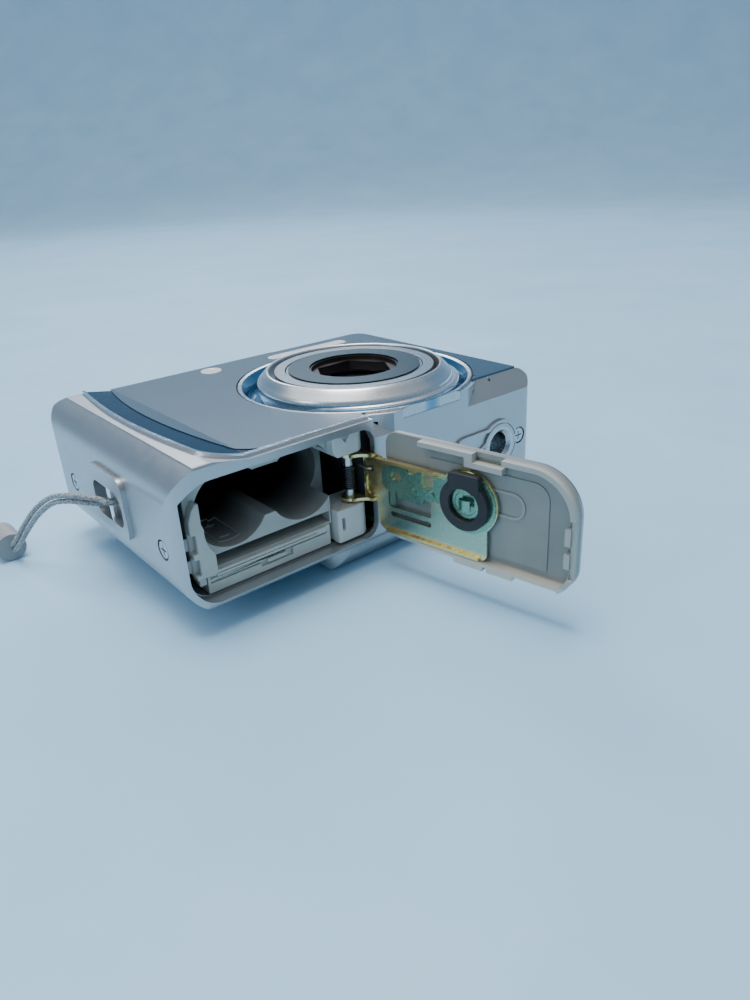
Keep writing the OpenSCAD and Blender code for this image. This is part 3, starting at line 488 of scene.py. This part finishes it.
def clear_lamp():
    """Clear lens over a pale reflector; its near-white base is partly the lamp's own pale colour and partly a
    painted highlight for its glint.
    """
    s = Shader("pale_lamp", (0.95, 0.95, 0.93), 0.0, 0.12, Coat_Weight=1.0, Coat_Roughness=0.03)
    # Near-white base: partly the lamp's own pale colour, partly a painted highlight for its glint.
    s.colour(s.mix(s.ramp(s.noise(0.9, 3), 0, 1), (0.88, 0.88, 0.86), (0.97, 0.97, 0.95)))
    s.roughness(s.ramp(s.noise(0.4, 3), 0.08, 0.18))
    s.bump(s.noise(0.5, 2), 0.004, 0.4)
    return s.material


def braided_cord(name, dark, light, pitch_mm):
    """Fine braid: crossing strands with loose fibres."""
    s = Shader(name, light, 0.0, 0.75, Sheen_Weight=0.4)
    strands = s.noise(pitch_mm, 2)
    fibres = s.noise(0.06, 4)
    base = s.mix(s.ramp(strands, 0, 1, 0.4, 0.6), dark, light)
    s.colour(s.mix(s.ramp(fibres, 0, 0.4, 0.5, 0.8), base, (0.66, 0.68, 0.69)))
    s.roughness(s.ramp(fibres, 0.65, 0.9))
    s.bump(fibres, 0.02, 0.6)
    return s.material


def make_materials():
    return {
        "silver_paint": silver_paint(),
        "brushed_panel": brushed_panel(),
        "dark_blue": dark_gloss(),
        "mirror_trough": mirror_trough(),
        "bright_chrome": bright_chrome(),
        "bezel_silver": turned_metal("bezel_silver", (0.60, 0.61, 0.63), (0.84, 0.85, 0.86), 0.22, 0.34),
        "barrel_metal": turned_metal("barrel_metal", (0.32, 0.35, 0.38), (0.52, 0.56, 0.60), 0.2, 0.34),
        "ring_grey": turned_metal("ring_grey", (0.025, 0.045, 0.06), (0.05, 0.08, 0.10), 0.28, 0.42),
        "black_plastic": moulded("black_plastic", (0.012, 0.012, 0.014), (0.03, 0.03, 0.034)),
        "lens_glass": lens_glass(),
        "clear_window": clear_window(),
        "dark_window": dark_window(),
        "reflector": rolled_metal("reflector", (0.75, 0.76, 0.78), (0.9, 0.9, 0.92), 0.08, 0.16),
        "pale_lamp": clear_lamp(),
        "green_lamp": lamp_plastic("green_lamp", (0.08, 0.5, 0.15), (0.3, 0.9, 0.4)),
        "circuit_board": circuit_board(),
        "small_metal": rolled_metal("small_metal", (0.42, 0.43, 0.45), (0.66, 0.67, 0.69)),
        "inner_plastic": moulded("inner_plastic", (0.44, 0.43, 0.40), (0.54, 0.53, 0.49)),
        "tray_plastic": moulded("tray_plastic", (0.55, 0.54, 0.49), (0.66, 0.65, 0.60)),
        "hinge_plastic": moulded("hinge_plastic", (0.62, 0.62, 0.59), (0.74, 0.74, 0.71), 0.28, 0.4),
        "yellow_zinc": hinge_plating(),
        "contact_metal": plated("contact_metal", (0.17, 0.33, 0.25), (0.20, 0.38, 0.29), (0.27, 0.44, 0.33)),
        "gold_contact": plated("gold_contact", (0.45, 0.32, 0.10), (0.80, 0.62, 0.25), (0.86, 0.70, 0.34)),
        "spring_steel": rolled_metal("spring_steel", (0.05, 0.05, 0.055), (0.13, 0.13, 0.14)),
        "steel_pin": rolled_metal("steel_pin", (0.45, 0.46, 0.46), (0.72, 0.73, 0.73)),
        "button_grey": moulded("button_grey", (0.34, 0.37, 0.41), (0.46, 0.49, 0.53), 0.25, 0.38,
                               0.12, 0.004, Coat_Weight=0.3),
        "door_inner": door_moulding(),
        "chamber": chamber_with_painted_shade(),
        "lens_black": moulded("lens_black", (0.010, 0.007, 0.006), (0.022, 0.016, 0.014), 0.3, 0.45),
        "strap_cord": braided_cord("strap_cord", (0.10, 0.11, 0.12), (0.38, 0.40, 0.41), 0.35),
        "strap_slider": moulded("strap_slider", (0.26, 0.27, 0.28), (0.36, 0.37, 0.38)),
    }


# ---- Pieces carried over from the CAD ----

# Nodes whose look differs from their record slot's usual one
NODE_LOOKS = {"lens_dish": "mirror_trough", "door_cover": "door_inner", "lens_baffle": "lens_black",
              "lens_guide": "lens_black", "battery_chamber": "chamber"}

# Rounding of some nodes' edges, in millimetres. The two covers, the front panel, the door cover and
# the contact plate stay as they come: their wide faces have openings, and rounding tears them.
EDGE_MM = {
    "lens_dish": 0.12,
    "outer_barrel": 0.08, "inner_barrel": 0.08, "card_tray": 0.08, "catch_post": 0.2,
    "upper_hinge_block": 0.2, "lower_hinge_block": 0.25, "contact_ring": 0.2, "port_cover": 0.2,
    "shutter_button": 0.3, "power_button": 0.25, "zoom_rocker": 0.3, "menu_button": 0.25,
    "play_button": 0.25, "four_way_pad": 0.3, "ok_button": 0.25, "lcd_window": 0.15,
    "timer_lamp": 0.15, "flash_window": 0.2,
}


def round_edges(obj, width_mm):
    """Joins the imported faces, then rounds every real edge."""
    if "custom_normal" in obj.data.attributes:
        obj.data.attributes.remove(obj.data.attributes["custom_normal"])
    for face in obj.data.polygons:
        face.use_smooth = True
    weld = obj.modifiers.new("join", "WELD")
    weld.merge_threshold = 1e-6
    plain = obj.modifiers.new("flat_faces", "DECIMATE")
    plain.decimate_type = "DISSOLVE"
    plain.angle_limit = math.radians(0.3)
    bevel = obj.modifiers.new("edges", "BEVEL")
    bevel.width = width_mm * MM
    bevel.segments = 2
    bevel.limit_method = "ANGLE"
    bevel.angle_limit = math.radians(35)
    bevel.use_clamp_overlap = False
    bevel.harden_normals = True


def dress_nodes(materials):
    """Gives every CAD node its material, and rounds the edges that EDGE_MM names."""
    for part in frame["record"]["subparts"]:
        obj = nodes[part["node"]]
        obj.data.materials.clear()
        obj.data.materials.append(materials[NODE_LOOKS.get(part["node"], part["material_slot"])])
        if part["node"] in EDGE_MM:
            round_edges(obj, EDGE_MM[part["node"]])


# ---- Pieces built afresh ----

# Radius of the pinhole left on the axis of a turned piece, in millimetres
AXIS_GAP = 0.01


def finish_piece(name, bm, materials, look, body, stands_for, sharp=38):
    """Mesh object from bm, in millimetres, with its finish, its body and the node it replaces."""
    bmesh.ops.recalc_face_normals(bm, faces=bm.faces)
    bmesh.ops.scale(bm, vec=(MM, MM, MM), verts=bm.verts)
    mesh = bpy.data.meshes.new(name)
    bm.to_mesh(mesh)
    bm.free()
    for face in mesh.polygons:
        face.use_smooth = True
    mesh.set_sharp_from_angle(angle=math.radians(sharp))
    obj = bpy.data.objects.new(name, mesh)
    bpy.context.scene.collection.objects.link(obj)
    mesh.materials.append(materials[look])
    if stands_for:
        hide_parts(*stands_for)
    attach(obj, body)
    return obj


def soften(profile, radius, steps=4):
    """Closed outline with its corners rounded off."""
    out = []
    for i, corner in enumerate(profile):
        b = Vector(corner)
        a, c = Vector(profile[i - 1]), Vector(profile[(i + 1) % len(profile)])
        start = b + (a - b).normalized() * min(radius, (a - b).length * 0.45)
        end = b + (c - b).normalized() * min(radius, (c - b).length * 0.45)
        for k in range(steps + 1):
            t = k / steps
            out.append((1 - t) ** 2 * start + 2 * t * (1 - t) * b + t * t * end)
    return out


def add_lathe(bm, profile, centre=(0, 0), sides=192):
    """Turned body whose closed (radius, height) outline is profile."""
    rings = []
    for k in range(sides):
        a = 2 * math.pi * k / sides
        rings.append([bm.verts.new((centre[0] + p[0] * math.cos(a), centre[1] + p[0] * math.sin(a), p[1]))
                      for p in profile])
    count = len(profile)
    for k in range(sides):
        near, far = rings[k], rings[(k + 1) % sides]
        for i in range(count):
            j = (i + 1) % count
            bm.faces.new((near[i], far[i], far[j], near[j]))


def add_tube(bm, points, radius, sides=10):
    """Round wire through the points."""
    normal = Vector((0.2, 0.3, 1)).normalized()
    rings = []
    for i, p in enumerate(points):
        along = (points[min(i + 1, len(points) - 1)] - points[max(i - 1, 0)]).normalized()
        normal = (normal - along * normal.dot(along)).normalized()
        side = along.cross(normal)
        rings.append([bm.verts.new(p + radius * (math.cos(2 * math.pi * k / sides) * normal
                                                 + math.sin(2 * math.pi * k / sides) * side))
                      for k in range(sides)])
    for near, far in zip(rings, rings[1:]):
        for k in range(sides):
            j = (k + 1) % sides
            bm.faces.new((near[k], near[j], far[j], far[k]))
    bm.faces.new(rings[0])
    bm.faces.new(rings[-1])


def from_closed_door(x, y, z):
    """Point drawn with the door shut, in millimetres, carried to the open door."""
    pin = PIN / MM
    return DOOR_TURN @ (Vector((x, y, z)) - pin) + pin


def make_bezel(materials):
    """Cone round the barrels, on a skirt that stands a little off the axis."""
    bm = bmesh.new()
    cone = [(18.8, 27.75), (21.0, 27.75), (21.66, 30.9), (21.5, 31.5), (19.6, 33.5), (19.1, 33.68),
            (18.8, 33.4)]
    add_lathe(bm, soften(cone, 0.28))
    skirt = [(18.6, 27.75), (21.5, 27.75), (21.85, 28.4), (21.85, 30.3), (21.4, 30.66), (18.6, 30.66)]
    skirt_centre = (0.9, -0.9)
    add_lathe(bm, soften(skirt, 0.25), skirt_centre)
    finish_piece("lens_bezel_turned", bm, materials, "bezel_silver", "case", ["lens_bezel"])


def make_front_glass(materials):
    """Domed front lens. Its middle stays open by AXIS_GAP, so that no face has zero width."""
    bm = bmesh.new()
    glass_r, back, edge, rise = 9.5, 28.0, 28.2, 1.25
    dome = [(AXIS_GAP, back), (glass_r, back)]
    for k in range(15):
        a = math.radians(6 * k)
        dome.append((glass_r * math.cos(a), edge + rise * math.sin(a)))
    dome.append((AXIS_GAP, edge + rise))
    add_lathe(bm, [Vector(p) for p in dome])
    finish_piece("front_glass", bm, materials, "lens_glass", "inner_barrel",
                 ["front_element"], 60)


def make_spring(materials):
    """Coil round the hinge pin, its far end led out to the plate."""
    turns, per_turn, low, high, coil_r = 11, 16, 16.1, 20.9, 1.3
    steps = turns * per_turn
    points = []
    for k in range(steps + 1):
        a = 2 * math.pi * k / per_turn - math.pi / 2
        points.append(from_closed_door(PIN_X + coil_r * math.cos(a), PIN_Y + coil_r * math.sin(a),
                                       low + (high - low) * k / steps))
    bm = bmesh.new()
    add_tube(bm, points, 0.19)
    finish_piece("spring_coil", bm, materials, "spring_steel", "door_plate",
                 ["hinge_spring"])
    leg = [(-18.9, -22.1, 20.7), (-20.2, -22.2, 20.8), (-21.8, -22.1, 20.7), (-22.9, -22.3, 20.6),
           (-23.2, -22.6, 20.6), (-23.3, -22.9, 20.6)]
    bm = bmesh.new()
    add_tube(bm, smooth_route([from_closed_door(*p) for p in leg], 5), 0.17)
    finish_piece("spring_leg", bm, materials, "steel_pin", "door_plate",
                 ["hinge_spring"])


def make_leaf(materials):
    """Curled contact leaf standing on a shallow dish in the ring's well."""
    bm = bmesh.new()
    dish_y, leaf_x, leaf_y, half_height = -22.28, -45.5, -21.55, 1.0
    base = [(AXIS_GAP, 0.0), (2.85, 0.0), (2.85, 0.25), (2.3, 0.25), (2.2, 0.12), (AXIS_GAP, 0.12)]
    add_lathe(bm, [Vector(p) for p in base], sides=64)
    place = Matrix.Rotation(math.radians(-90), 3, "X")
    for vert in bm.verts:
        spun = place @ vert.co
        vert.co = from_closed_door(CELL_X + spun.x, dish_y + spun.y, RING_Z + spun.z)
    rows = []
    steps = 21
    for k in range(steps + 1):
        a = math.radians(-70 + 250 * k / steps)
        x, y = leaf_x + 1.215 * math.cos(a), leaf_y + 0.62 * math.sin(a)
        rows.append([bm.verts.new(from_closed_door(x, y, RING_Z + dz)) for dz in (-half_height, half_height)])
    for near, far in zip(rows, rows[1:]):
        bm.faces.new((near[0], far[0], far[1], near[1]))
    finish_piece("contact_leaf_curled", bm, materials, "contact_metal",
                 "door_plate", ["contact_leaf"])


def make_cell_mark(materials):
    """Raised outline of a cell on the floor of the first bore, to show which way it goes in."""
    bm = bmesh.new()
    half_line, sunk, proud, steps = 0.16, 0.02, 0.14, 6

    def on_bore(across, along, lift):
        angle = math.radians(-90) + across / CELL_R
        r = CELL_R + sunk - lift
        return Vector((CELL_X + r * math.cos(angle), along, CELL_Z + r * math.sin(angle)))

    outline = [(-2.2, -19), (2.2, -19), (2.2, -9.5), (0.9, -9.5), (0.9, -8.4), (-0.9, -8.4),
               (-0.9, -9.5), (-2.2, -9.5)]
    marks = [(outline, True), ([(-0.8, -11.6), (0.8, -11.6)], False), ([(0, -12.4), (0, -10.8)], False),
             ([(-0.8, -17.2), (0.8, -17.2)], False)]
    for path, closed in marks:
        pairs = list(zip(path, path[1:] + path[:1])) if closed else list(zip(path, path[1:]))
        for (x0, y0), (x1, y1) in pairs:
            long = Vector((x1 - x0, y1 - y0)).normalized()
            wide = Vector((-long.y, long.x)) * half_line
            rows = []
            for k in range(steps + 1):
                t = k / steps
                mx = x0 - long.x * half_line + (x1 - x0 + long.x * 2 * half_line) * t
                my = y0 - long.y * half_line + (y1 - y0 + long.y * 2 * half_line) * t
                rows.append([bm.verts.new(on_bore(mx + side * wide.x, my + side * wide.y, lift))
                             for side, lift in ((-1, 0), (-0.8, proud), (0.8, proud), (1, 0))])
            for near, far in zip(rows, rows[1:]):
                for i in range(3):
                    bm.faces.new((near[i], near[i + 1], far[i + 1], far[i]))
            bm.faces.new(rows[0])
            bm.faces.new(rows[-1])
    finish_piece("cell_mark", bm, materials, "inner_plastic", "case", [])


# ---- Strap ----

# The cords' routes and sizes, in millimetres, as in the CAD: the thin loop from the slider round
# the lug's bar and back, and the wrist loop's two ends from the slider to the hank
LOOP_ROUTE = [
    (-71.1, 31.4, 3.5), (-70.62, 28.98, 5.42), (-69.07, 25.19, 9.8), (-67.05, 20.93, 14.26),
    (-64.9, 16.41, 17.43), (-62.84, 12.08, 18.58), (-61.2, 8.9, 18.8), (-59.6, 6.6, 18.7),
    (-58.65, 5, 18.5), (-58.37, 4, 18.35), (-58.02, 3.17, 18.25), (-57.2, 2.83, 18.1),
    (-56.38, 3.17, 18), (-56.03, 4, 17.9), (-56.38, 4.83, 17.75), (-57.25, 5.35, 17.6),
    (-58.3, 6, 17.5), (-59.5, 7, 17.4), (-61.2, 9.2, 17.5), (-62.76, 11.92, 17.42),
    (-64.7, 15.99, 16.3), (-66.75, 20.27, 13.26), (-68.73, 24.41, 8.9), (-70.38, 28.22, 4.5),
    (-71, 31.4, 2.2),
]
TAIL_OUT = [
    (-72.3, 39.6, 2.6), (-72.5, 41.8, 2), (-73.4, 44.4, 1.2), (-75.6, 47, 0.8),
    (-79, 48.8, 0.8), (-82, 49.2, 0.8),
]
TAIL_BACK = [
    (-70.5, 39.6, 2.6), (-70.8, 42.4, 2.2), (-72, 45.8, 2.3), (-75, 48.8, 2.4),
    (-79, 50.4, 2.4), (-82, 50.6, 2.4),
]
LOOP_WIDTH = 1.1
TAIL_WIDTH = 1.6
HANK_CENTRE = (-96, 53)
# Half the length of the hank's straight runs
HANK_STRAIGHT = 7.0


def smooth_route(points, steps):
    """Catmull-Rom curve through the points, with steps between each two."""
    p = [Vector(x) for x in points]
    out = []
    for i in range(len(p) - 1):
        a, b, c, d = p[max(i - 1, 0)], p[i], p[i + 1], p[min(i + 2, len(p) - 1)]
        for j in range(steps):
            t = j / steps
            out.append(0.5 * (2 * b + (c - a) * t + (2 * a - 5 * b + 4 * c - d) * t * t
                              + (3 * b - a - 3 * c + d) * t ** 3))
    out.append(p[-1])
    return out


def evenly(points, gap):
    """The same line with a point about every gap."""
    lengths = [0.0]
    for a, b in zip(points, points[1:]):
        lengths.append(lengths[-1] + (b - a).length)
    count = max(2, round(lengths[-1] / gap))
    out, i = [], 0
    for k in range(count + 1):
        want = lengths[-1] * k / count
        while i < len(points) - 2 and lengths[i + 1] < want:
            i += 1
        span = lengths[i + 1] - lengths[i]
        out.append(points[i].lerp(points[i + 1], (want - lengths[i]) / span if span else 0))
    return out, lengths[-1]


def braided_tube(name, points, width, strands, pitch, sides=20, gap=0.14):
    """Tube whose skin is a braid of crossing strands. All in millimetres."""
    line, length = evenly(points, gap)
    normal = Vector((0, 0, 1))
    verts, faces = [], []
    for i, p in enumerate(line):
        along = (line[min(i + 1, len(line) - 1)] - line[max(i - 1, 0)]).normalized()
        normal = (normal - along * normal.dot(along)).normalized()
        side = along.cross(normal)
        turn = 2 * math.pi * i * length / (len(line) - 1) / pitch
        for k in range(sides):
            a = 2 * math.pi * k / sides
            weave = max(math.cos(strands * a + turn), math.cos(strands * a - turn))
            r = width / 2 * (0.90 + 0.10 * weave)
            verts.append((p + r * (math.cos(a) * normal + math.sin(a) * side)) * MM)
    for i in range(len(line) - 1):
        for k in range(sides):
            j = (k + 1) % sides
            faces.append((i * sides + k, i * sides + j, (i + 1) * sides + j, (i + 1) * sides + k))
    faces.append(tuple(reversed(range(sides))))
    faces.append(tuple((len(line) - 1) * sides + k for k in range(sides)))
    mesh = bpy.data.meshes.new(name)
    mesh.from_pydata(verts, [], faces)
    for face in mesh.polygons:
        face.use_smooth = True
    obj = bpy.data.objects.new(name, mesh)
    bpy.context.scene.collection.objects.link(obj)
    return obj, [p * MM for p in line], length * MM


def hank_turns():
    """Two layers of turns round a stadium: spiralling in along the floor, then out on top."""
    cx, cy = HANK_CENTRE
    points = [(-85.2, 47.7, 0.8), (-88.6, 46.3, 0.8)]
    # Each lap's height and radius, at its start and at its end
    low, high, outside, middle, inside, end_r = 0.8, 2.4, 7.1, 5.4, 3.8, 7.0
    laps = [(low, low, outside, middle), (low, low, middle, inside), (low, high, inside, inside),
            (high, high, inside, middle), (high, high, middle, end_r)]
    # A lap has 3 points on each straight run and 7 round each end
    run, bend, spread = 3, 7, 0.7
    lap_points = 2 * (run + bend)
    last_point = run + bend + run + 2
    for lap, (z0, z1, r0, r1) in enumerate(laps):
        for k in range(lap_points):
            if lap == len(laps) - 1 and k > last_point:
                break
            t = k / lap_points
            r = r0 + (r1 - r0) * t
            z = z0 + (z1 - z0) * min(1, 2 * t)
            way = 1 if k < run + bend else -1
            step = k % (run + bend)
            if step < run:
                place = (cx + way * HANK_STRAIGHT * (1 - step) * spread, cy - way * r)
            else:
                turn = math.radians(-90 * way - 180 * (step - run) / (bend - 1))
                place = (cx - way * HANK_STRAIGHT + r * math.cos(turn), cy + r * math.sin(turn))
            points.append((*place, z))
    return points + [(-82.4, 54.4, high), (-81.7, 52.2, high)]


def make_strap(materials):
    """Thin loop through the lug, and the wrist loop's cord put away as a hank."""
    loop, path, length = braided_tube("strap_loop_braid", smooth_route(LOOP_ROUTE, 8), LOOP_WIDTH,
                                      strands=4, pitch=2.2)
    loop.data.materials.append(materials["strap_cord"])
    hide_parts("strap_loop")
    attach(loop, "case")
    route = TAIL_OUT + hank_turns() + TAIL_BACK[:-1][::-1]
    tail, path, length = braided_tube("strap_tail_braid", smooth_route(route, 4), TAIL_WIDTH,
                                      strands=5, pitch=3.2, sides=14, gap=0.25)
    tail.data.materials.append(materials["strap_cord"])
    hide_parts("strap_tail", "strap_hank")
    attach(tail, "case")


make_camera()
make_studio()
make_floor()
looks = make_materials()
make_bezel(looks)
make_front_glass(looks)
make_spring(looks)
make_leaf(looks)
make_cell_mark(looks)
make_strap(looks)
dress_nodes(looks)
